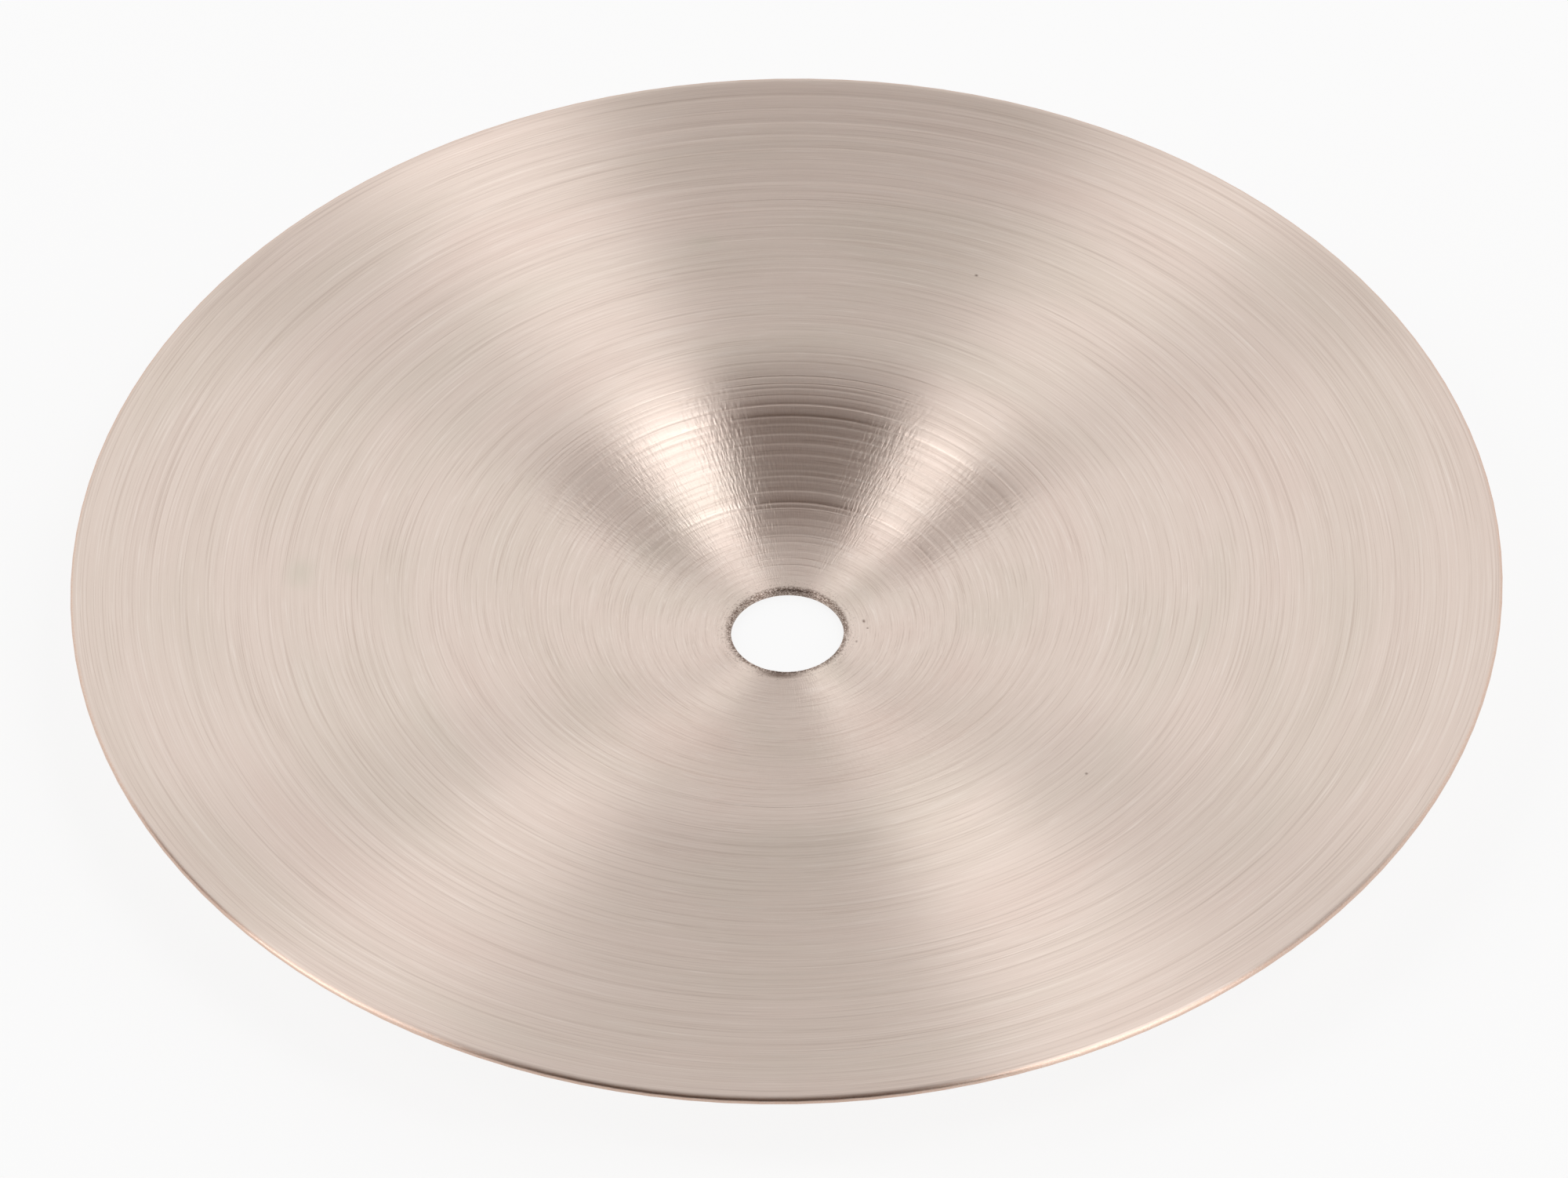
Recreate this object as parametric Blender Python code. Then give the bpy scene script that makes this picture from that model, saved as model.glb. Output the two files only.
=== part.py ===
"""Splash cymbal of 152.4 mm (six inches): one sheet of bronze, pressed to a bell and a bow,
turned thinner towards the rim, punched through the crown and dressed at the rim.

The cymbal lies as it does when its hollow side is looked at: bell down, rim up. The origin is on
the axis, at the lowest plane of the crown. Lengths are in metres, angles in radians, +Z is up.

Half of the wall's section is drawn in the plane of radius and height, as a chain of tangent lines
and arcs, and then turned about the axis. A slope or heading is an angle in that plane, 0 outwards
along the radius and 90 degrees upwards.
"""

import math

import bmesh
import bpy

# Driving dimensions of the dish, taken on its hollow face.
RIM_DIAMETER = 0.1524
HOLE_DIAMETER = 0.0121
SEAT_DIAMETER = 0.0160  # flat ring round the hole, where a washer bears
CROWN_RADIUS = 0.0296  # dome between the seat and the wall of the bell
BELL_ANGLE = math.radians(20.5)  # slope of the bell's conical wall
BELL_DIAMETER = 0.0656  # middle of the bend between the bell and the bow
BEND_RADIUS = 0.0300
BOW_START_ANGLE = math.radians(0.3)
BOW_END_ANGLE = math.radians(8.0)

# The wall is turned thinner from the seat out to the rim.
SEAT_THICKNESS = 0.00095
RIM_THICKNESS = 0.00080

# The rim's hollow side is dressed to a wide soft shoulder, its outer side only broken.
SHOULDER_ANGLE = math.radians(25.0)
SHOULDER_RADIUS = 0.0010
RIM_CORNER_RADIUS = 0.00025
RIM_UNDERCUT_RADIUS = 0.00020

# The hole is punched from outside: a lip stands up on the hollow side, the outer side is rolled in.
LIP_ANGLE = math.radians(15.0)
LIP_FLARE_RADIUS = 0.0015
LIP_CREST_RADIUS = 0.00020
PUNCH_ROLL_RADIUS = 0.00027

# Facets.
TURN_STEPS = 84
DOME_STEPS = 5
BEND_STEPS = 6
BOW_STEPS = 6
CORNER_STEPS = 3

MERGE_DISTANCE = 0.000001
SHARP_ANGLE = math.radians(35.0)

# Lathe-turned bronze: a pale, slightly pink metal.
BRONZE_COLOUR = (0.74, 0.62, 0.55, 1.0)
BRONZE_ROUGHNESS = 0.32
BRONZE_ANISOTROPY = 0.8
BRONZE_GRAIN_TURN = 0.25  # a quarter turn: highlights spread across the turned lines

UP = math.radians(90.0)
INWARDS = math.radians(180.0)
DOWN = math.radians(270.0)
OUTWARDS = math.radians(360.0)


class SectionPen:
    """Draws a chain of lines and arcs, each tangent to the one before."""

    def __init__(self, radius, height, heading):
        self.radius = radius
        self.height = height
        self.heading = heading
        self.stations = [(radius, height, heading)]

    def line(self, length):
        """Goes straight on."""
        self.radius += length * math.cos(self.heading)
        self.height += length * math.sin(self.heading)
        self.stations.append((self.radius, self.height, self.heading))

    def arc(self, heading, bend, steps):
        """Turns to a heading on an arc with the radius bend."""
        side = math.copysign(bend, heading - self.heading)
        first = self.heading
        centre_radius = self.radius - side * math.sin(first)
        centre_height = self.height + side * math.cos(first)
        for step in range(1, steps + 1):
            self.heading = first + (heading - first) * step / steps
            self.radius = centre_radius + side * math.sin(self.heading)
            self.height = centre_height - side * math.cos(self.heading)
            self.stations.append((self.radius, self.height, self.heading))


def wall_thickness(radius):
    """Thickness square to the wall: even under the seat, then tapering to the rim."""
    seat_radius = SEAT_DIAMETER / 2
    share = max(radius - seat_radius, 0.0) / (RIM_DIAMETER / 2 - seat_radius)
    return SEAT_THICKNESS + (RIM_THICKNESS - SEAT_THICKNESS) * share


def draw_dish(lip_radius):
    """Hollow face from the foot of the lip, over bell and bow, to where the rim's shoulder starts."""
    pen = SectionPen(lip_radius, SEAT_THICKNESS, 0.0)
    pen.line(SEAT_DIAMETER / 2 - lip_radius)
    pen.arc(BELL_ANGLE, CROWN_RADIUS, DOME_STEPS)

    bend_width = BEND_RADIUS * (math.sin(BELL_ANGLE) - math.sin(BOW_START_ANGLE))
    wall_width = BELL_DIAMETER / 2 - bend_width / 2 - pen.radius
    pen.line(wall_width / math.cos(BELL_ANGLE))
    pen.arc(BOW_START_ANGLE, BEND_RADIUS, BEND_STEPS)

    shoulder_width = SHOULDER_RADIUS * (math.sin(BOW_END_ANGLE) + math.sin(SHOULDER_ANGLE))
    corner_width = RIM_CORNER_RADIUS * (1.0 - math.sin(SHOULDER_ANGLE))
    bow_width = RIM_DIAMETER / 2 - shoulder_width - corner_width - pen.radius
    bow_radius = bow_width / (math.sin(BOW_END_ANGLE) - math.sin(BOW_START_ANGLE))
    pen.arc(BOW_END_ANGLE, bow_radius, BOW_STEPS)
    return pen.stations


def draw_hole_edge():
    """From the foot of the lip over its crest, down the hole, to the outer face under the seat."""
    lip_width = LIP_FLARE_RADIUS * math.sin(LIP_ANGLE) + LIP_CREST_RADIUS * (1.0 + math.sin(LIP_ANGLE))
    pen = SectionPen(HOLE_DIAMETER / 2 + lip_width, SEAT_THICKNESS, INWARDS)
    pen.arc(INWARDS - LIP_ANGLE, LIP_FLARE_RADIUS, CORNER_STEPS)
    pen.arc(DOWN, LIP_CREST_RADIUS, CORNER_STEPS + 1)
    pen.line(pen.height - PUNCH_ROLL_RADIUS)
    pen.arc(OUTWARDS, PUNCH_ROLL_RADIUS, CORNER_STEPS)
    return pen.stations


def draw_outer_face(dish):
    """Outer face under the dish, from the seat to the start of the rim's outer corner."""
    stations = []
    for radius, height, slope in dish[1:-1]:
        stations.append((radius, height - wall_thickness(radius) / math.cos(slope), slope))
    return stations


def draw_rim_edge(dish):
    """Rim, from the outer face up its edge and over the shoulder to the end of the dish."""
    rim_radius = RIM_DIAMETER / 2
    end_radius, end_height, slope = dish[-1]
    corner_radius = rim_radius - RIM_UNDERCUT_RADIUS * (1.0 - math.sin(slope))
    corner_height = (
        end_height
        + (corner_radius - end_radius) * math.tan(slope)
        - wall_thickness(rim_radius) / math.cos(slope)
    )
    outer = SectionPen(corner_radius, corner_height, slope)
    outer.arc(UP, RIM_UNDERCUT_RADIUS, CORNER_STEPS)

    shoulder = SectionPen(end_radius, end_height, slope)
    shoulder.arc(-SHOULDER_ANGLE, SHOULDER_RADIUS, CORNER_STEPS)
    shoulder.arc(-UP, RIM_CORNER_RADIUS, CORNER_STEPS)
    return outer.stations + shoulder.stations[:0:-1]


def cymbal_section():
    """Closed outline of the wall: round the hole, out under the dish, round the rim and back."""
    hole_edge = draw_hole_edge()
    dish = draw_dish(hole_edge[0][0])
    stations = hole_edge + draw_outer_face(dish) + draw_rim_edge(dish) + dish[:0:-1]
    return [(radius, height) for radius, height, _ in stations]


def turn_section(name, section, material):
    """Turns a closed section about the Z axis into one solid."""
    turned = bmesh.new()
    ring = [turned.verts.new((radius, 0.0, height)) for radius, height in section]
    for first, second in zip(ring, ring[1:] + ring[:1]):
        turned.edges.new((first, second))
    bmesh.ops.spin(
        turned,
        geom=turned.verts[:] + turned.edges[:],
        axis=(0.0, 0.0, 1.0),
        cent=(0.0, 0.0, 0.0),
        angle=math.tau,
        steps=TURN_STEPS,
        use_merge=True,
        use_duplicate=False,
    )
    bmesh.ops.remove_doubles(turned, verts=turned.verts, dist=MERGE_DISTANCE)
    bmesh.ops.recalc_face_normals(turned, faces=turned.faces)
    mesh = bpy.data.meshes.new(name)
    turned.to_mesh(mesh)
    turned.free()
    mesh.materials.append(material)
    mesh.shade_smooth()
    mesh.set_sharp_from_angle(angle=SHARP_ANGLE)
    solid = bpy.data.objects.new(name, mesh)
    bpy.context.scene.collection.objects.link(solid)
    return solid


def turned_bronze():
    """Pale bronze with the grain that the lathe leaves."""
    material = bpy.data.materials.new("turned_bronze")
    material.use_nodes = True
    shader = material.node_tree.nodes["Principled BSDF"]
    shader.inputs["Base Color"].default_value = BRONZE_COLOUR
    shader.inputs["Metallic"].default_value = 1.0
    shader.inputs["Roughness"].default_value = BRONZE_ROUGHNESS
    shader.inputs["Anisotropic"].default_value = BRONZE_ANISOTROPY
    shader.inputs["Anisotropic Rotation"].default_value = BRONZE_GRAIN_TURN
    material.diffuse_color = BRONZE_COLOUR
    return material


def clear_scene():
    """Removes whatever the scene holds."""
    for item in list(bpy.data.objects):
        bpy.data.objects.remove(item, do_unlink=True)


def main():
    """Builds the cymbal."""
    clear_scene()
    turn_section("cymbal", cymbal_section(), turned_bronze())


main()
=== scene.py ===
"""Looks of the splash cymbal: its lathe-turned bronze sheet, and the studio that it is seen in.

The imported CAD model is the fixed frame. The sheet is drawn again here with the lathe's cuts in both
faces and an uneven lip round the punched hole, and it stands for the CAD solid. Lengths are in
metres, angles in radians, +Z is up, and the origin is on the axis at the lowest plane of the crown.
"""

import logging
import math
import random
from dataclasses import dataclass, field
from enum import Enum

import bmesh
import bpy
from mathutils import Matrix, Vector, noise


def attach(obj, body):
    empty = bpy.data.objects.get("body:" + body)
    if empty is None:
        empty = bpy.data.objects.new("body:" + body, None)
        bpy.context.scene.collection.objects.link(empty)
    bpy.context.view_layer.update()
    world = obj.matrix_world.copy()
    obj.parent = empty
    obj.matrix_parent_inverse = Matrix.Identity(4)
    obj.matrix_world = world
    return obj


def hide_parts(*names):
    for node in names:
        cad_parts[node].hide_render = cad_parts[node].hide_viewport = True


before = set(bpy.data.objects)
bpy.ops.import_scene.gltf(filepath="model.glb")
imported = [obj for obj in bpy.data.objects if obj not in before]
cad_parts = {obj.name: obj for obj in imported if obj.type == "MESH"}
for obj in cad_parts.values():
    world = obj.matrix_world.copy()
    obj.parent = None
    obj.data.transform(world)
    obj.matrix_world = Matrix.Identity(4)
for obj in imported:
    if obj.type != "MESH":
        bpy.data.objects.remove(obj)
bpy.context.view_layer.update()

LOG = logging.getLogger("splash_cymbal")
MM = 0.001
AXIS_RADIUS = 0.01  # millimetres: closer in, a direction from the axis means nothing
FULL_TURN = 360.0  # degrees
UP = math.radians(90.0)
INWARDS = math.radians(180.0)
DOWN = math.radians(270.0)
OUTWARDS = math.radians(360.0)
WHITE = (1.0, 1.0, 1.0, 1.0)


class Face(Enum):
    """The two faces of the sheet, by the way into the metal: -1 down, 1 up."""

    HOLLOW = -1.0
    OUTER = 1.0


class Wire:
    """A number on its way through a material, so that shader maths reads as Python."""

    def __init__(self, bench: "NodeBench", socket: bpy.types.NodeSocket) -> None:
        """Wraps one output.

        Args:
            bench: The bench that the node stands on.
            socket: The output that carries the number.
        """
        self.bench = bench
        self.socket = socket

    def math(self, operation: str, *others: object) -> "Wire":
        """Adds one Math node behind this value.

        Args:
            operation: The node's operation.
            others: The values after the first.

        Returns:
            The result.
        """
        return self.bench.calculate(operation, self, *others)

    def __add__(self, other: object) -> "Wire":
        """Sum."""
        return self.math("ADD", other)

    def __sub__(self, other: object) -> "Wire":
        """Difference."""
        return self.math("SUBTRACT", other)

    def __mul__(self, other: object) -> "Wire":
        """Product."""
        return self.math("MULTIPLY", other)

    def __truediv__(self, other: object) -> "Wire":
        """Quotient."""
        return self.math("DIVIDE", other)

    def __rsub__(self, other: object) -> "Wire":
        """Difference from a plain number."""
        return self.bench.calculate("SUBTRACT", other, self)

    __radd__ = __add__
    __rmul__ = __mul__

    def ramp(self, low: float, high: float) -> "Wire":
        """Smooth rise from 0 at low to 1 at high, either way round.

        Args:
            low: Where the result is 0.
            high: Where the result is 1.

        Returns:
            The share, from 0 to 1.
        """
        ranged = self.bench.node(
            "ShaderNodeMapRange",
            {"interpolation_type": "SMOOTHSTEP"},
            {"Value": self, "From Min": low, "From Max": high},
        )
        return Wire(self.bench, ranged.outputs["Result"])

    def near(self, centre: float, reach: float) -> "Wire":
        """Smooth bump that is 1 at centre and 0 past reach.

        Args:
            centre: Where the bump stands.
            reach: Half of its width.

        Returns:
            The share, from 0 to 1.
        """
        return (self - centre).math("ABSOLUTE").ramp(reach, 0.0)


class NodeBench:
    """The node tree of one material or world, and the one place that adds nodes to it."""

    def __init__(self, tree: bpy.types.NodeTree) -> None:
        """Starts on an empty tree.

        Args:
            tree: The node tree, which is cleared.
        """
        self.tree = tree
        self.tree.nodes.clear()

    def node(self, kind: str, settings: dict | None = None, feeds: dict | None = None) -> bpy.types.Node:
        """Adds a node.

        Args:
            kind: The node's type.
            settings: Its own settings, set first.
            feeds: What goes into its sockets, by name or number: values, wires or sockets.

        Returns:
            The node.
        """
        made = self.tree.nodes.new(kind)
        for name, value in (settings or {}).items():
            setattr(made, name, value)
        for key, value in (feeds or {}).items():
            target = made.inputs[key]
            if isinstance(value, Wire):
                self.tree.links.new(value.socket, target)
            elif isinstance(value, bpy.types.NodeSocket):
                self.tree.links.new(value, target)
            else:
                target.default_value = value
        return made

    def calculate(self, operation: str, *values: object) -> Wire:
        """Adds a Math node.

        Args:
            operation: The node's operation.
            values: Its inputs in order.

        Returns:
            The result.
        """
        made = self.node("ShaderNodeMath", {"operation": operation}, dict(enumerate(values)))
        return Wire(self, made.outputs[0])

    def tint(self, share: object, first: object, second: object) -> bpy.types.NodeSocket:
        """Mixes two colours.

        Args:
            share: How much of the second colour.
            first: The colour at share 0.
            second: The colour at share 1.

        Returns:
            The mixed colour.
        """
        feeds = {0: share, 6: first, 7: second}
        return self.node("ShaderNodeMix", {"data_type": "RGBA"}, feeds).outputs[2]

    def point(self, x: object, y: object, z: object) -> bpy.types.NodeSocket:
        """Joins three numbers to a vector."""
        return self.node("ShaderNodeCombineXYZ", feeds={0: x, 1: y, 2: z}).outputs[0]

    def split(self, vector: bpy.types.NodeSocket) -> list[Wire]:
        """Parts a vector into its three numbers."""
        made = self.node("ShaderNodeSeparateXYZ", feeds={0: vector})
        return [Wire(self, output) for output in made.outputs]

    def cloud(self, where: object, detail: float, roughness: float) -> Wire:
        """Smooth noise.

        Args:
            where: The point at which it is read.
            detail: Octaves.
            roughness: Share of each finer octave.

        Returns:
            Noise about 0.5.
        """
        feeds = {"Vector": where, "Scale": 1.0, "Detail": detail, "Roughness": roughness}
        made = self.node("ShaderNodeTexNoise", {"noise_dimensions": "3D"}, feeds)
        return Wire(self, made.outputs[0])

    def finish(self, shader: bpy.types.Node, kind: str = "ShaderNodeOutputMaterial") -> None:
        """Ends the tree with an output.

        Args:
            shader: The last shader.
            kind: The output's type.
        """
        self.node(kind, feeds={"Surface": shader.outputs[0]})


@dataclass(frozen=True)
class TonePatch:
    """A patch of other tone on the hollow face, in millimetres from the axis and degrees of azimuth:
    stains and marks, and painted shade by the hole.
    """

    azimuth: float
    radius: float
    width: float
    height: float
    strength: float


@dataclass(frozen=True)
class Grain:
    """Noise that is drawn out along the turned lines."""

    per_mm: float  # changes in a millimetre of radius
    around: float  # changes round the axis
    detail: float
    roughness: float = 0.5


@dataclass(frozen=True)
class Layer:
    """A tint that comes in while a measure goes from low to high, up to a share."""

    low: float
    high: float
    share: float

    def over(self, measure: Wire) -> Wire:
        """How much of the tint shows where the measure is read."""
        return measure.ramp(self.low, self.high) * self.share


class TurnedPlace:
    """Where a point of the cymbal lies, in millimetres and degrees, as wires."""

    def __init__(self, bench: NodeBench) -> None:
        """Works out the place.

        Args:
            bench: The bench of the material.
        """
        self.bench = bench
        self.x, self.y, self.z = (
            metres / MM for metres in bench.split(bench.node("ShaderNodeTexCoord").outputs["Object"])
        )
        self.radius = (self.x * self.x + self.y * self.y).math("SQRT").math("MAXIMUM", AXIS_RADIUS)
        self.east, self.north = self.x / self.radius, self.y / self.radius
        turned = self.y.math("ARCTAN2", self.x) * math.degrees(1.0)
        self.azimuth = (turned + FULL_TURN).math("MODULO", FULL_TURN)

    def along(self, grain: Grain) -> Wire:
        """Noise along the turned lines.

        Args:
            grain: How it is drawn out.

        Returns:
            Noise about 0.5.
        """
        east, north = self.east * grain.around, self.north * grain.around
        where = self.bench.point(self.radius * grain.per_mm, east, north)
        return self.bench.cloud(where, grain.detail, grain.roughness)

    def spot(self, mark: TonePatch) -> Wire:
        """How much of one mark shows.

        Args:
            mark: The mark.

        Returns:
            The share, from 0 to the mark's strength.
        """
        across = self.azimuth.near(mark.azimuth, mark.width)
        outwards = self.radius.near(mark.radius, mark.height)
        return across * outwards * mark.strength

    def spots(self, marks: tuple) -> Wire:
        """How much of several marks shows."""
        return sum(self.spot(mark) for mark in marks)


@dataclass(frozen=True)
class TurnedBronze:
    """Pale bronze with the grain that the lathe leaves. It has painted shade in its grooves, painted
    highlights and glints on its ridges, and painted shade round the hole. Radii are in millimetres.
    """

    colour: tuple = (0.79, 0.665, 0.59, 1.0)
    # painted shade: the dark colour painted into the grooves of the turned lines
    groove_shade_colour: tuple = (0.50, 0.385, 0.325, 1.0)
    # painted highlight: the pale colour painted on the ridges of the turned lines
    ridge_highlight_colour: tuple = (0.93, 0.83, 0.76, 1.0)
    tarnish_colour: tuple = (0.62, 0.575, 0.475, 1.0)
    blush_colour: tuple = (0.76, 0.60, 0.53, 1.0)
    # dark colour for chips and specks, and for painted shade on the lip and down the hole
    chip_and_shade_colour: tuple = (0.20, 0.135, 0.105, 1.0)
    rim_colour: tuple = (0.72, 0.50, 0.39, 1.0)
    roughness: float = 0.31
    anisotropy: float = 1.0
    grain_turn: float = 0.25  # a quarter turn: highlights spread across the turned lines

    hairlines: Grain = Grain(4.6, 1.9, 4.0, 0.74)
    bands: Grain = Grain(1.15, 1.4, 1.0, 0.4)
    strokes: Grain = Grain(4.4, 9.0, 1.0)
    patches: Grain = Grain(0.09, 1.6, 2.0)
    chatter: Grain = Grain(1.0, 84.0, 1.0)
    grit_scale: tuple = (5.0, 5.0, 9.0)  # changes in a millimetre
    grit_detail: float = 3.0
    grit_roughness: float = 0.7

    tarnish: Layer = Layer(0.42, 0.70, 0.22)
    blush: Layer = Layer(0.46, 0.26, 0.30)
    # painted shade in the grooves, where the turned lines sink
    hairline_shade: Layer = Layer(0.50, 0.32, 0.42)
    band_shade: Layer = Layer(0.45, 0.32, 0.06)
    # painted highlights on the ridges, and short painted glints
    hairline_highlight: Layer = Layer(0.52, 0.68, 0.36)
    stroke_glint: Layer = Layer(0.60, 0.74, 0.26)

    # painted shade on the lip and hole wall in grit patches, with dark chips beside it as flecks
    lip_radii: tuple = (6.85, 6.25)
    grit_patch_range: tuple = (0.40, 0.54)
    lip_shade_share: float = 0.9
    fleck_radii: tuple = (8.2, 6.4)
    fleck_grit: Layer = Layer(0.56, 0.66, 0.7)
    rim_radii: tuple = (75.75, 76.15)
    rim_share: float = 0.35
    rim_worn_share: float = 0.5

    relief: float = 2.8e-6  # metres for a height of 1
    stroke_height: float = 0.25
    chatter_height: float = 6.0
    chatter_radii: tuple = (38.0, 24.0)
    grit_height: float = 4.0
    hairline_roughness: float = 0.06
    lip_roughness: float = 0.08

    stains: tuple = (
        TonePatch(177.0, 52.0, 4.0, 2.6, 0.45),
        TonePatch(175.0, 46.5, 3.0, 1.6, 0.25),
        TonePatch(345.0, 40.5, 9.0, 1.0, 0.20),
        TonePatch(350.0, 45.0, 7.0, 0.8, 0.18),
        TonePatch(208.0, 42.5, 10.0, 2.2, 0.14),
        TonePatch(99.0, 53.0, 3.0, 2.0, 0.22),
    )
    specks_and_lip_shade: tuple = (
        TonePatch(65.0, 51.0, 0.35, 0.25, 0.9),
        TonePatch(317.0, 42.4, 0.35, 0.25, 0.8),
        TonePatch(8.0, 8.3, 2.6, 0.25, 0.9),
        TonePatch(0.5, 8.6, 1.8, 0.2, 0.7),
        TonePatch(346.0, 7.6, 2.0, 0.2, 0.6),
        # painted shade: a dark reflection painted on the near side of the lip, under the hole
        TonePatch(262.0, 6.75, 30.0, 0.55, 0.75),
    )

    def material(self) -> bpy.types.Material:
        """Builds the material.

        Returns:
            The finished material.
        """
        made = bpy.data.materials.new("turned_bronze")
        made.use_nodes = True
        bench = NodeBench(made.node_tree)
        place = TurnedPlace(bench)
        hairlines, strokes = place.along(self.hairlines), place.along(self.strokes)
        bands, patches = place.along(self.bands), place.along(self.patches)
        scaled = [axis * scale for axis, scale in zip((place.x, place.y, place.z), self.grit_scale)]
        grit = bench.cloud(bench.point(*scaled), self.grit_detail, self.grit_roughness)

        # painted shade in the grooves of the turned lines
        painted_groove_shade = self.hairline_shade.over(hairlines) + self.band_shade.over(bands)
        # painted highlights and glints on the ridges of the turned lines
        painted_ridge_highlights = self.hairline_highlight.over(hairlines) + self.stroke_glint.over(strokes)
        colour = bench.tint(self.tarnish.over(patches), self.colour, self.tarnish_colour)
        colour = bench.tint(self.blush.over(patches), colour, self.blush_colour)
        colour = bench.tint(painted_groove_shade, colour, self.groove_shade_colour)
        colour = bench.tint(painted_ridge_highlights, colour, self.ridge_highlight_colour)
        colour = bench.tint(place.spots(self.stains), colour, self.tarnish_colour)
        # dark specks and chips, and the painted shade on the near side of the lip
        colour = bench.tint(place.spots(self.specks_and_lip_shade), colour, self.chip_and_shade_colour)

        # painted shade and dark reflection on the lip and down the hole wall, in grit patches; the flecks
        # are dark chips beside the hole
        lip = place.radius.ramp(*self.lip_radii)
        grit_patches = grit.ramp(*self.grit_patch_range)
        flecks = place.radius.ramp(*self.fleck_radii) * self.fleck_grit.over(grit)
        lip_shade_and_flecks = (lip * grit_patches * self.lip_shade_share).math("MAXIMUM", flecks)
        colour = bench.tint(lip_shade_and_flecks, colour, self.chip_and_shade_colour)
        edge = place.radius.ramp(*self.rim_radii)
        colour = bench.tint(edge * (self.rim_share + self.rim_worn_share * grit_patches), colour, self.rim_colour)

        chatter = place.along(self.chatter) * place.radius.ramp(*self.chatter_radii)
        height = hairlines + strokes * self.stroke_height + chatter * self.chatter_height
        height = height + lip * grit * self.grit_height
        feeds = {"Strength": 1.0, "Distance": self.relief, "Height": height}
        bump = bench.node("ShaderNodeBump", feeds=feeds)
        uneven = (hairlines - 0.5) * self.hairline_roughness + lip * self.lip_roughness
        feeds = {
            "Base Color": colour,
            "Metallic": 1.0,
            "Roughness": self.roughness + uneven,
            "Anisotropic": self.anisotropy,
            "Anisotropic Rotation": self.grain_turn,
            "Normal": bump.outputs[0],
        }
        bench.finish(bench.node("ShaderNodeBsdfPrincipled", feeds=feeds))
        made.diffuse_color = self.colour
        return made


class SectionPen:
    """Draws a chain of lines and arcs in the plane of radius and height, with mesh operators."""

    def __init__(self, mesh: bmesh.types.BMesh, radius: float, height: float, heading: float) -> None:
        """Puts the pen down.

        Args:
            mesh: The mesh that is drawn in.
            radius: Distance from the axis.
            height: Height above the crown's lowest plane.
            heading: Direction of travel, 0 outwards and a quarter turn upwards.
        """
        self.mesh = mesh
        self.heading = heading
        self.chain = [mesh.verts.new((radius, 0.0, height))]

    @property
    def tip(self) -> bmesh.types.BMVert:
        """Where the pen is."""
        return self.chain[-1]

    def line(self, length: float) -> None:
        """Goes straight on.

        Args:
            length: How far.
        """
        made = bmesh.ops.extrude_vert_indiv(self.mesh, verts=[self.tip])["verts"][0]
        step = Vector((math.cos(self.heading), 0.0, math.sin(self.heading))) * length
        bmesh.ops.translate(self.mesh, verts=[made], vec=step)
        self.chain.append(made)

    def arc(self, heading: float, bend: float, steps: int) -> None:
        """Turns to a heading.

        Args:
            heading: The new direction of travel.
            bend: Radius of the arc.
            steps: Straight pieces in it.
        """
        turn = heading - self.heading
        side = math.copysign(bend, turn)
        left = Vector((-math.sin(self.heading), 0.0, math.cos(self.heading)))
        centre = self.tip.co + left * side
        for _ in range(steps):
            made = bmesh.ops.extrude_vert_indiv(self.mesh, verts=[self.tip])["verts"][0]
            spin = Matrix.Rotation(-turn / steps, 3, "Y")
            bmesh.ops.rotate(self.mesh, verts=[made], cent=centre, matrix=spin)
            self.chain.append(made)
        self.heading = heading


@dataclass(frozen=True)
class LatheFeed:
    """How the turning tool was fed over one band of a face, unevenly as by hand."""

    start: float
    end: float
    pitch: float
    half_width: float
    depth: float
    seed: int
    depth_spread: tuple = (0.35, 1.35)
    pitch_spread: tuple = (0.62, 1.38)

    def cuts(self) -> list[tuple[float, float]]:
        """The cuts of this feed.

        Returns:
            Radius and depth of each cut.
        """
        draw = random.Random(self.seed)
        made = []
        radius = self.start
        while radius < self.end:
            made.append((radius, self.depth * draw.uniform(*self.depth_spread)))
            radius += self.pitch * draw.uniform(*self.pitch_spread)
        return made


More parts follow.
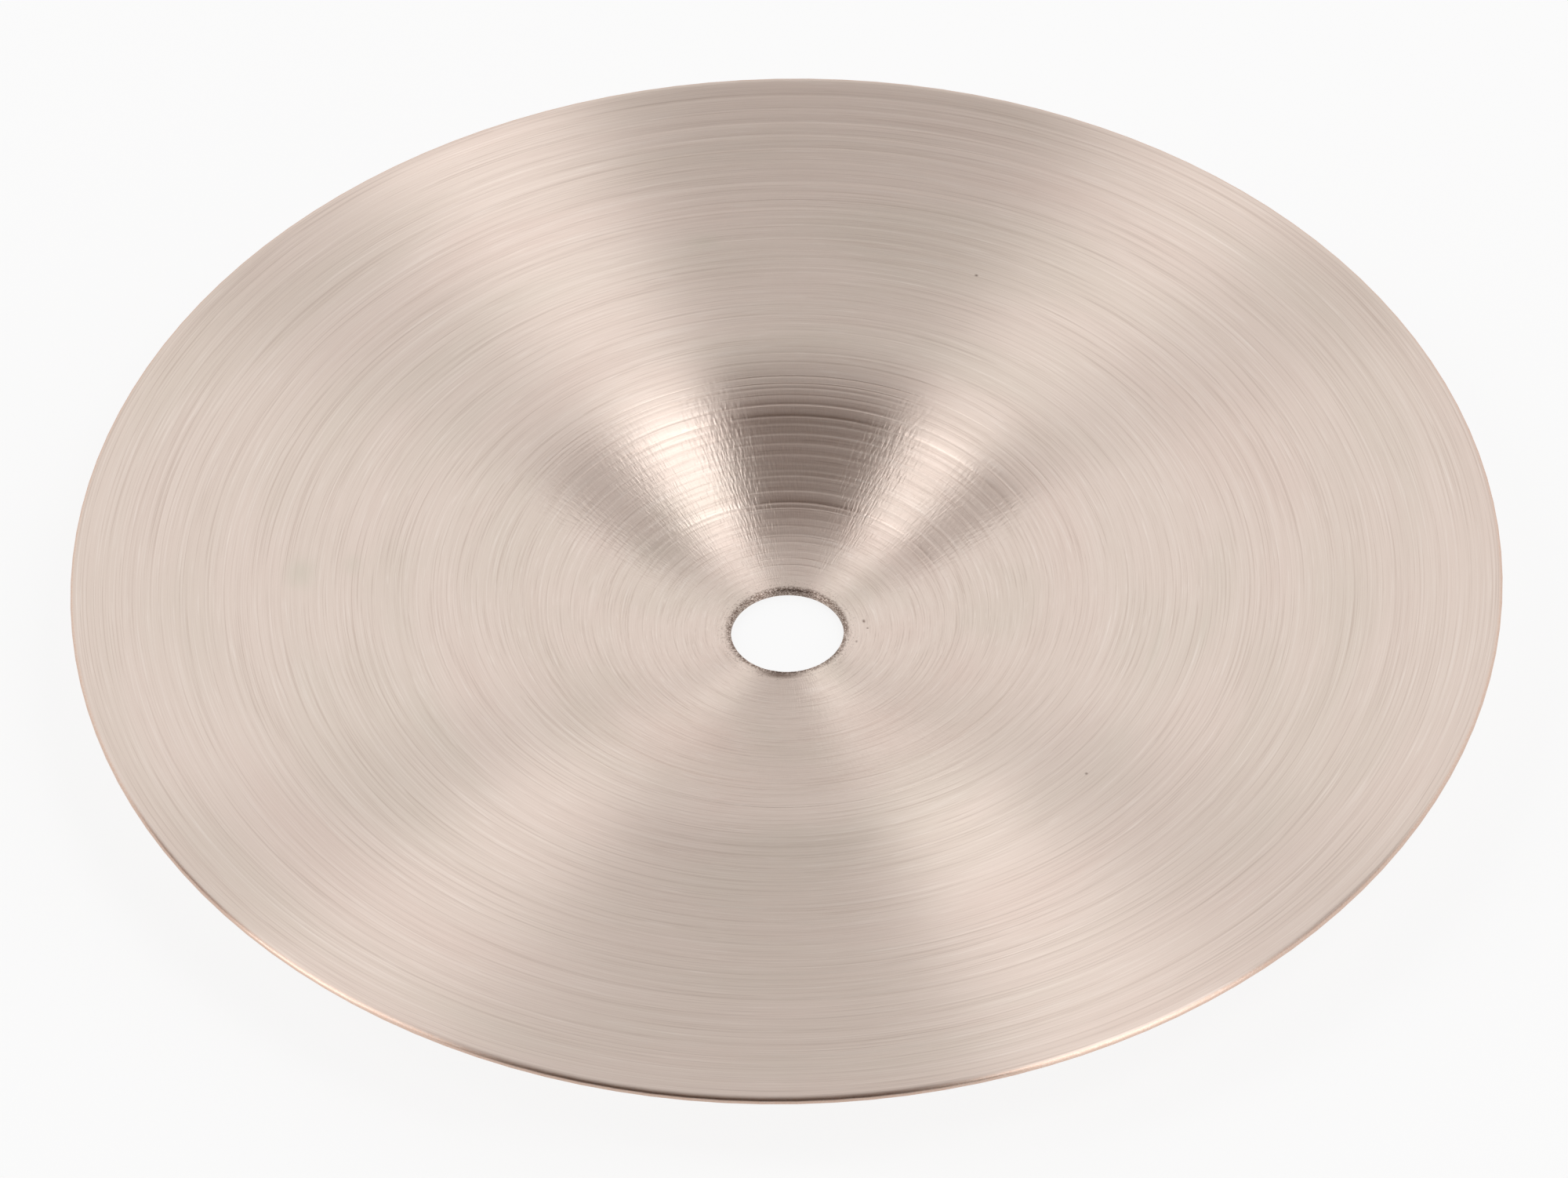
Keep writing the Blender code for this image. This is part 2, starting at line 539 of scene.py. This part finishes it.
@dataclass
class CymbalSheet:
    """The whole cymbal: one sheet of bronze, pressed, turned, punched and dressed."""

    rim_diameter: float = 0.1524
    hole_diameter: float = 0.0121
    seat_diameter: float = 0.0160
    crown_radius: float = 0.0296
    bell_angle: float = math.radians(20.5)
    bell_diameter: float = 0.0656
    bend_radius: float = 0.0300
    bow_start_angle: float = math.radians(0.3)
    bow_end_angle: float = math.radians(8.0)
    seat_thickness: float = 0.00095
    rim_thickness: float = 0.00080
    shoulder_angle: float = math.radians(25.0)
    shoulder_radius: float = 0.0010
    rim_corner_radius: float = 0.00025
    rim_undercut_radius: float = 0.00020
    lip_angle: float = math.radians(15.0)
    lip_flare_radius: float = 0.0015
    lip_crest_radius: float = 0.00020
    punch_roll_radius: float = 0.00027
    burr: float = 0.00008  # how far the crest of the lip goes up and down
    burr_width: float = 0.0004
    burr_foot: float = 0.9  # share of the seat's thickness that the burr starts at
    burr_grain: float = 2100.0  # changes in a metre
    turn_steps: int = 128
    arc_steps: int = 22
    corner_steps: int = 5
    merge_distance: float = 0.0000004
    cut_distance: float = 0.000000001
    sharp_angle: float = math.radians(38.0)
    # One cut across, in shares of its half width and of its depth.
    cut_profile: tuple = ((-1.0, 0.0), (-0.5, 0.5), (0.0, 1.0), (0.5, 0.5), (1.0, 0.0))
    feeds: dict = field(
        default_factory=lambda: {
            Face.HOLLOW: (
                LatheFeed(0.0098, 0.0330, 0.00098, 0.00019, 0.0000150, 11),
                LatheFeed(0.0340, 0.0500, 0.00115, 0.00022, 0.0000075, 12),
                LatheFeed(0.0510, 0.0740, 0.00155, 0.00024, 0.0000095, 13),
            ),
            Face.OUTER: (
                LatheFeed(0.0098, 0.0330, 0.0015, 0.00024, 0.0000080, 21),
                LatheFeed(0.0345, 0.0738, 0.0019, 0.00028, 0.0000070, 22),
            ),
        }
    )

    def wall_thickness(self, radius: float) -> float:
        """Thickness square to the wall: even under the seat, then tapering to the rim.

        Args:
            radius: Distance from the axis.

        Returns:
            The thickness there.
        """
        seat = self.seat_diameter / 2
        share = max(radius - seat, 0.0) / (self.rim_diameter / 2 - seat)
        return self.seat_thickness + (self.rim_thickness - self.seat_thickness) * share

    def draw_dish(self, section: bmesh.types.BMesh, lip_radius: float) -> SectionPen:
        """Draws the hollow face from the foot of the lip to where the rim's shoulder starts.

        Args:
            section: The mesh that is drawn in.
            lip_radius: Radius of the lip's foot.

        Returns:
            The pen, at the end of the dish.
        """
        pen = SectionPen(section, lip_radius, self.seat_thickness, 0.0)
        pen.line(self.seat_diameter / 2 - lip_radius)
        pen.arc(self.bell_angle, self.crown_radius, self.arc_steps)
        bend_width = self.bend_radius * (math.sin(self.bell_angle) - math.sin(self.bow_start_angle))
        wall_width = self.bell_diameter / 2 - bend_width / 2 - pen.tip.co.x
        pen.line(wall_width / math.cos(self.bell_angle))
        pen.arc(self.bow_start_angle, self.bend_radius, self.arc_steps)
        shoulder = self.shoulder_radius * (math.sin(self.bow_end_angle) + math.sin(self.shoulder_angle))
        corner = self.rim_corner_radius * (1.0 - math.sin(self.shoulder_angle))
        bow_width = self.rim_diameter / 2 - shoulder - corner - pen.tip.co.x
        rise = math.sin(self.bow_end_angle) - math.sin(self.bow_start_angle)
        pen.arc(self.bow_end_angle, bow_width / rise, self.arc_steps)
        return pen

    def draw_hole_edge(self, section: bmesh.types.BMesh, lip_radius: float) -> SectionPen:
        """Draws from the foot of the lip over its crest and down the hole to the outer face.

        Args:
            section: The mesh that is drawn in.
            lip_radius: Radius of the lip's foot.

        Returns:
            The pen, at the start of the outer face.
        """
        pen = SectionPen(section, lip_radius, self.seat_thickness, INWARDS)
        pen.arc(INWARDS - self.lip_angle, self.lip_flare_radius, self.corner_steps)
        pen.arc(DOWN, self.lip_crest_radius, self.corner_steps)
        pen.line(pen.tip.co.z - self.punch_roll_radius)
        pen.arc(OUTWARDS, self.punch_roll_radius, self.corner_steps)
        return pen

    def draw_outer_face(self, section: bmesh.types.BMesh, dish: SectionPen) -> list[bmesh.types.BMVert]:
        """Draws the outer face at the wall's thickness under the dish.

        Args:
            section: The mesh that is drawn in.
            dish: The pen that drew the dish.

        Returns:
            The face's vertices, from the hole to the rim.
        """
        slopes = self.slopes(dish.chain)
        outer = [section.verts.new(vert.co) for vert in dish.chain[1:-1]]
        for vert, slope in zip(outer, slopes[1:-1]):
            drop = self.wall_thickness(vert.co.x) / math.cos(slope)
            bmesh.ops.translate(section, verts=[vert], vec=(0.0, 0.0, -drop))
        for first, second in zip(outer, outer[1:]):
            section.edges.new((first, second))
        return outer

    def draw_rim(self, section: bmesh.types.BMesh, end: Vector) -> tuple[SectionPen, SectionPen]:
        """Draws the rim's outer corner and its shoulder.

        Args:
            section: The mesh that is drawn in.
            end: The end of the dish.

        Returns:
            The pens of the outer corner and of the shoulder, both at the rim's edge.
        """
        slope = self.bow_end_angle
        rim_radius = self.rim_diameter / 2
        corner_radius = rim_radius - self.rim_undercut_radius * (1.0 - math.sin(slope))
        corner_height = end.z + (corner_radius - end.x) * math.tan(slope)
        corner_height -= self.wall_thickness(rim_radius) / math.cos(slope)
        under = SectionPen(section, corner_radius, corner_height, slope)
        under.arc(UP, self.rim_undercut_radius, self.corner_steps)
        shoulder = SectionPen(section, end.x, end.z, slope)
        shoulder.arc(-self.shoulder_angle, self.shoulder_radius, self.corner_steps)
        shoulder.arc(-UP, self.rim_corner_radius, self.corner_steps)
        return under, shoulder

    def split_face(self, section: bmesh.types.BMesh, verts: list, radius: float) -> list:
        """Adds a vertex to one face of the section.

        Args:
            section: The mesh that holds the face.
            verts: The face's vertices, which the new one joins.
            radius: Where the new vertex goes.

        Returns:
            The new vertex, or nothing where no edge of the face passes.
        """
        edges = dict.fromkeys(edge for vert in verts for edge in vert.link_edges)
        crossed = [edge for edge in edges if self.crosses(edge, radius)]
        made = bmesh.ops.bisect_plane(
            section,
            geom=crossed,
            dist=self.cut_distance,
            plane_co=(radius, 0.0, 0.0),
            plane_no=(1.0, 0.0, 0.0),
        )["geom_cut"]
        fresh = [item for item in made if isinstance(item, bmesh.types.BMVert)]
        verts.extend(fresh)
        return fresh

    @staticmethod
    def crosses(edge: bmesh.types.BMEdge, radius: float) -> bool:
        """Whether an edge passes a radius."""
        first, second = (vert.co.x - radius for vert in edge.verts)
        return first * second < 0.0

    def score(self, section: bmesh.types.BMesh, chain: list, face: Face) -> None:
        """Cuts the lathe's lines into one face of the section.

        Args:
            section: The mesh that holds the chain.
            chain: The face's vertices, from the hole to the rim.
            face: Which face it is.
        """
        verts = list(chain)
        for feed in self.feeds[face]:
            for centre, depth in feed.cuts():
                for across, sunk in self.cut_profile:
                    fresh = self.split_face(section, verts, centre + across * feed.half_width)
                    inwards = (0.0, 0.0, face.value * sunk * depth)
                    bmesh.ops.translate(section, verts=fresh, vec=inwards)

    def draw_section(self) -> bmesh.types.BMesh:
        """Draws the closed outline of the wall, with the cuts in both faces.

        Returns:
            The outline in the plane of radius and height.
        """
        section = bmesh.new()
        lip_width = self.lip_flare_radius * math.sin(self.lip_angle)
        lip_width += self.lip_crest_radius * (1.0 + math.sin(self.lip_angle))
        lip_radius = self.hole_diameter / 2 + lip_width
        dish = self.draw_dish(section, lip_radius)
        hole = self.draw_hole_edge(section, lip_radius)
        outer = self.draw_outer_face(section, dish)
        under, shoulder = self.draw_rim(section, dish.tip.co)

        section.edges.new((hole.tip, outer[0]))
        section.edges.new((outer[-1], under.chain[0]))
        section.edges.new((under.tip, shoulder.tip))
        self.score(section, dish.chain, Face.HOLLOW)
        self.score(section, outer, Face.OUTER)
        bmesh.ops.remove_doubles(section, verts=section.verts, dist=self.merge_distance)
        return section

    def slopes(self, chain: list) -> list[float]:
        """Slope of the dish at each vertex of its chain.

        Args:
            chain: Vertices from the hole to the rim, before the lathe's cuts.

        Returns:
            Angles from level.
        """
        ends = [chain[0], *chain, chain[-1]]
        made = []
        for before, after in zip(ends, ends[2:]):
            made.append(math.atan2(after.co.z - before.co.z, after.co.x - before.co.x))
        made[0], made[1], made[-1] = 0.0, 0.0, self.bow_end_angle
        return made

    def raise_burr(self, turned: bmesh.types.BMesh) -> None:
        """Makes the punched lip uneven, within the height of its crest.

        Args:
            turned: The turned sheet.
        """
        outside = self.hole_diameter / 2 + self.burr_width
        foot = self.seat_thickness * self.burr_foot
        for vert in turned.verts:
            if math.hypot(vert.co.x, vert.co.y) < outside and vert.co.z > foot:
                sunk = 0.5 + 0.5 * noise.noise(vert.co * self.burr_grain)
                vert.co.z -= self.burr * sunk

    def build(self, finish: TurnedBronze) -> bpy.types.Object:
        """Turns the section into the sheet and dresses it.

        Args:
            finish: The bronze.

        Returns:
            The finished piece.
        """
        turned = self.draw_section()
        bmesh.ops.spin(
            turned,
            geom=turned.verts[:] + turned.edges[:],
            axis=(0.0, 0.0, 1.0),
            cent=(0.0, 0.0, 0.0),
            angle=math.tau,
            steps=self.turn_steps,
            use_merge=True,
            use_duplicate=False,
        )
        bmesh.ops.remove_doubles(turned, verts=turned.verts, dist=self.merge_distance)
        bmesh.ops.recalc_face_normals(turned, faces=turned.faces)
        self.raise_burr(turned)
        piece = make_object("cymbal_sheet", turned, finish.material())
        piece.data.shade_smooth()
        piece.data.set_sharp_from_angle(angle=self.sharp_angle)
        return piece


def make_object(name: str, shape: bmesh.types.BMesh, material: bpy.types.Material) -> bpy.types.Object:
    """Turns a shape into an object of the scene.

    Args:
        name: The object's name.
        shape: Its mesh, which is freed.
        material: Its finish.

    Returns:
        The object.
    """
    mesh = bpy.data.meshes.new(name)
    shape.to_mesh(mesh)
    shape.free()
    mesh.materials.append(material)
    made = bpy.data.objects.new(name, mesh)
    bpy.context.scene.collection.objects.link(made)
    return made


def stage_object(name: str, shape: bmesh.types.BMesh, material: bpy.types.Material) -> bpy.types.Object:
    """Turns a shape into an object of the studio, which is not attached to the cymbal's body.

    Args:
        name: The object's name.
        shape: Its mesh, which is freed.
        material: Its finish.

    Returns:
        The object.
    """
    made = make_object(name, shape, material)
    return made


@dataclass(frozen=True)
class Bank:
    """A soft light bank: level overhead, or upright beside the object."""

    name: str
    centre: tuple
    size: tuple
    tilt: float
    turn: float
    radiance: float  # of its face, where white surroundings have 1

    def hang(self) -> None:
        """Makes the lamp, which no camera sees."""
        lamp = bpy.data.lights.new(self.name, "AREA")
        lamp.shape = "RECTANGLE"
        lamp.size, lamp.size_y = self.size
        lamp.energy = self.radiance * math.pi * self.size[0] * self.size[1]
        held = bpy.data.objects.new(self.name, lamp)
        held.location = self.centre
        held.rotation_euler = (self.tilt, 0.0, self.turn)
        held.visible_camera = False
        bpy.context.scene.collection.objects.link(held)


@dataclass(frozen=True)
class Flag:
    """A dark card that keeps light off, held level overhead or upright in front."""

    name: str
    centre: tuple
    size: tuple
    tilt: float
    colour: tuple

    def hold(self) -> None:
        """Makes the card, which no camera sees."""
        card = bmesh.new()
        bmesh.ops.create_grid(card, x_segments=1, y_segments=1, size=0.5)
        bmesh.ops.scale(card, verts=card.verts, vec=(*self.size, 1.0))
        bmesh.ops.rotate(card, verts=card.verts, matrix=Matrix.Rotation(self.tilt, 3, "X"))
        bmesh.ops.translate(card, verts=card.verts, vec=self.centre)
        held = stage_object(self.name, card, self.material())
        held.visible_camera = False

    def material(self) -> bpy.types.Material:
        """Makes the card's matt finish.

        Returns:
            The material.
        """
        made = bpy.data.materials.new(self.name)
        made.use_nodes = True
        bench = NodeBench(made.node_tree)
        bench.finish(bench.node("ShaderNodeBsdfDiffuse", feeds={"Color": (*self.colour, 1.0)}))
        return made


@dataclass(frozen=True)
class Studio:
    """Pale floor, white surroundings, the light banks and the dark cards between them."""

    floor_side: float = 40.0
    floor_gap: float = 0.00004
    floor_albedo: float = 0.92
    floor_glow: float = 0.86  # share of plain white in the floor that the camera sees
    plain_level: float = 0.92  # of the surroundings, as matt surfaces see them
    ceiling_level: float = 0.97  # of the surroundings overhead, where the sides have 1
    ceiling_rise: tuple = (0.15, 0.85)  # heights on the sphere of directions
    banks: tuple = (
        Bank("left_bank", (-1.22, -0.13, 1.3), (1.22, 0.32), 0.0, 0.0, 3.0),
        Bank("right_bank", (0.665, -0.277, 1.3), (0.64, 0.49), 0.0, 0.0, 2.8),
        Bank("left_panel", (-1.50, -0.56, 0.56), (0.56, 1.12), UP, math.radians(-69.5), 1.25),
        Bank("right_panel", (1.151, -1.111, 0.39), (0.98, 0.78), UP, math.radians(46.0), 1.15),
    )
    flags: tuple = (
        Flag("overhead_flag", (-0.26, -0.57, 1.6), (1.20, 2.10), 0.0, (0.11, 0.045, 0.018)),
        Flag("right_card", (0.88, 0.34, 1.29), (0.66, 0.58), 0.0, (0.12, 0.07, 0.055)),
        Flag("left_card", (-1.65, 0.40, 1.29), (1.70, 0.64), 0.0, (0.16, 0.10, 0.08)),
        Flag("front_flag", (-0.285, -1.05, 0.80), (1.81, 1.6), UP, (0.035, 0.028, 0.024)),
    )

    def seen(self, bench: NodeBench) -> Wire:
        """Share of 1 for rays from the camera, a glossy surface or glass.

        Args:
            bench: The bench of the material or world.

        Returns:
            The share, 0 or 1.
        """
        path = bench.node("ShaderNodeLightPath")
        names = ("Is Camera Ray", "Is Glossy Ray", "Is Transmission Ray")
        camera, glossy, glass = (Wire(bench, path.outputs[name]) for name in names)
        return camera.math("MAXIMUM", glossy).math("MAXIMUM", glass)

    def light_surroundings(self) -> None:
        """White surroundings at strength 1, and a plain level for matt surfaces."""
        world = bpy.data.worlds.new("studio")
        world.use_nodes = True
        bpy.context.scene.world = world
        bench = NodeBench(world.node_tree)
        seen = self.seen(bench)
        rise = bench.split(bench.node("ShaderNodeTexCoord").outputs["Generated"])[2]
        room = 1.0 - (1.0 - self.ceiling_level) * rise.ramp(*self.ceiling_rise)
        level = self.plain_level + (room - self.plain_level) * seen
        shader = bench.node("ShaderNodeBackground", feeds={"Color": WHITE, "Strength": level})
        bench.finish(shader, "ShaderNodeOutputWorld")
        world.cycles.sampling_method = "NONE"

    def lay_floor(self) -> None:
        """Pale floor that shows as white and keeps the cymbal's shadow."""
        made = bpy.data.materials.new("pale_floor")
        made.use_nodes = True
        bench = NodeBench(made.node_tree)
        albedo = (self.floor_albedo,) * 3 + (1.0,)
        matt = bench.node("ShaderNodeBsdfDiffuse", feeds={"Color": albedo})
        glow = bench.node("ShaderNodeEmission", feeds={"Color": WHITE, "Strength": 1.0})
        feeds = {0: self.seen(bench) * self.floor_glow, 1: matt.outputs[0], 2: glow.outputs[0]}
        bench.finish(bench.node("ShaderNodeMixShader", feeds=feeds))
        floor = bmesh.new()
        bmesh.ops.create_grid(floor, x_segments=1, y_segments=1, size=self.floor_side / 2)
        bmesh.ops.translate(floor, verts=floor.verts, vec=(0.0, 0.0, -self.floor_gap))
        stage_object("floor", floor, made)

    def build(self) -> None:
        """Sets up the whole studio."""
        self.light_surroundings()
        self.lay_floor()
        for bank in self.banks:
            bank.hang()
        for flag in self.flags:
            flag.hold()
        bpy.context.scene.view_settings.view_transform = "Standard"


@dataclass(frozen=True)
class ProductCamera:
    """The long lens over the near rim, as fitted to the rim and the hole in the picture."""

    aim_height: float = 0.0106
    distance: float = 1.1613
    elevation: float = math.radians(45.486)
    roll: float = math.radians(1.242)
    pan: float = -0.00018
    tilt: float = -0.00198
    focal_pixels: float = 13909.0
    picture_width: float = 2000.0
    sensor_width: float = 36.0
    clip_start: float = 0.05
    clip_end: float = 100.0

    def build(self) -> bpy.types.Object:
        """Sets up the camera.

        Returns:
            The scene's camera.
        """
        data = bpy.data.cameras.new("camera")
        data.sensor_width = self.sensor_width
        data.lens = self.focal_pixels / self.picture_width * self.sensor_width
        data.clip_start, data.clip_end = self.clip_start, self.clip_end
        cosine, sine = math.cos(self.elevation), math.sin(self.elevation)
        back = Vector((0.0, -cosine, sine))
        level_right, level_up = Vector((1.0, 0.0, 0.0)), Vector((0.0, sine, cosine))
        right = level_right * math.cos(self.roll) + level_up * -math.sin(self.roll)
        up = back.cross(right)
        forward = (-back + right * self.pan + up * self.tilt).normalized()
        right = forward.cross(up).normalized()
        up = right.cross(forward)
        camera = bpy.data.objects.new("camera", data)
        place = Matrix((right, up, -forward)).transposed().to_4x4()
        place.translation = Vector((0.0, 0.0, self.aim_height)) + back * self.distance
        camera.matrix_world = place
        bpy.context.scene.collection.objects.link(camera)
        bpy.context.scene.camera = camera
        return camera


def main() -> None:
    """Builds the cymbal's looks, the studio and the camera."""
    logging.basicConfig(level=logging.INFO, format="%(message)s")
    sheet = CymbalSheet().build(TurnedBronze())
    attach(sheet, "root")
    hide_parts("cymbal")
    LOG.info("%s: %d faces", sheet.name, len(sheet.data.polygons))
    Studio().build()
    LOG.info("studio: floor, banks and flags")
    camera = ProductCamera().build()
    LOG.info("camera: %.1f mm lens", camera.data.lens)


if __name__ == "__main__":
    main()
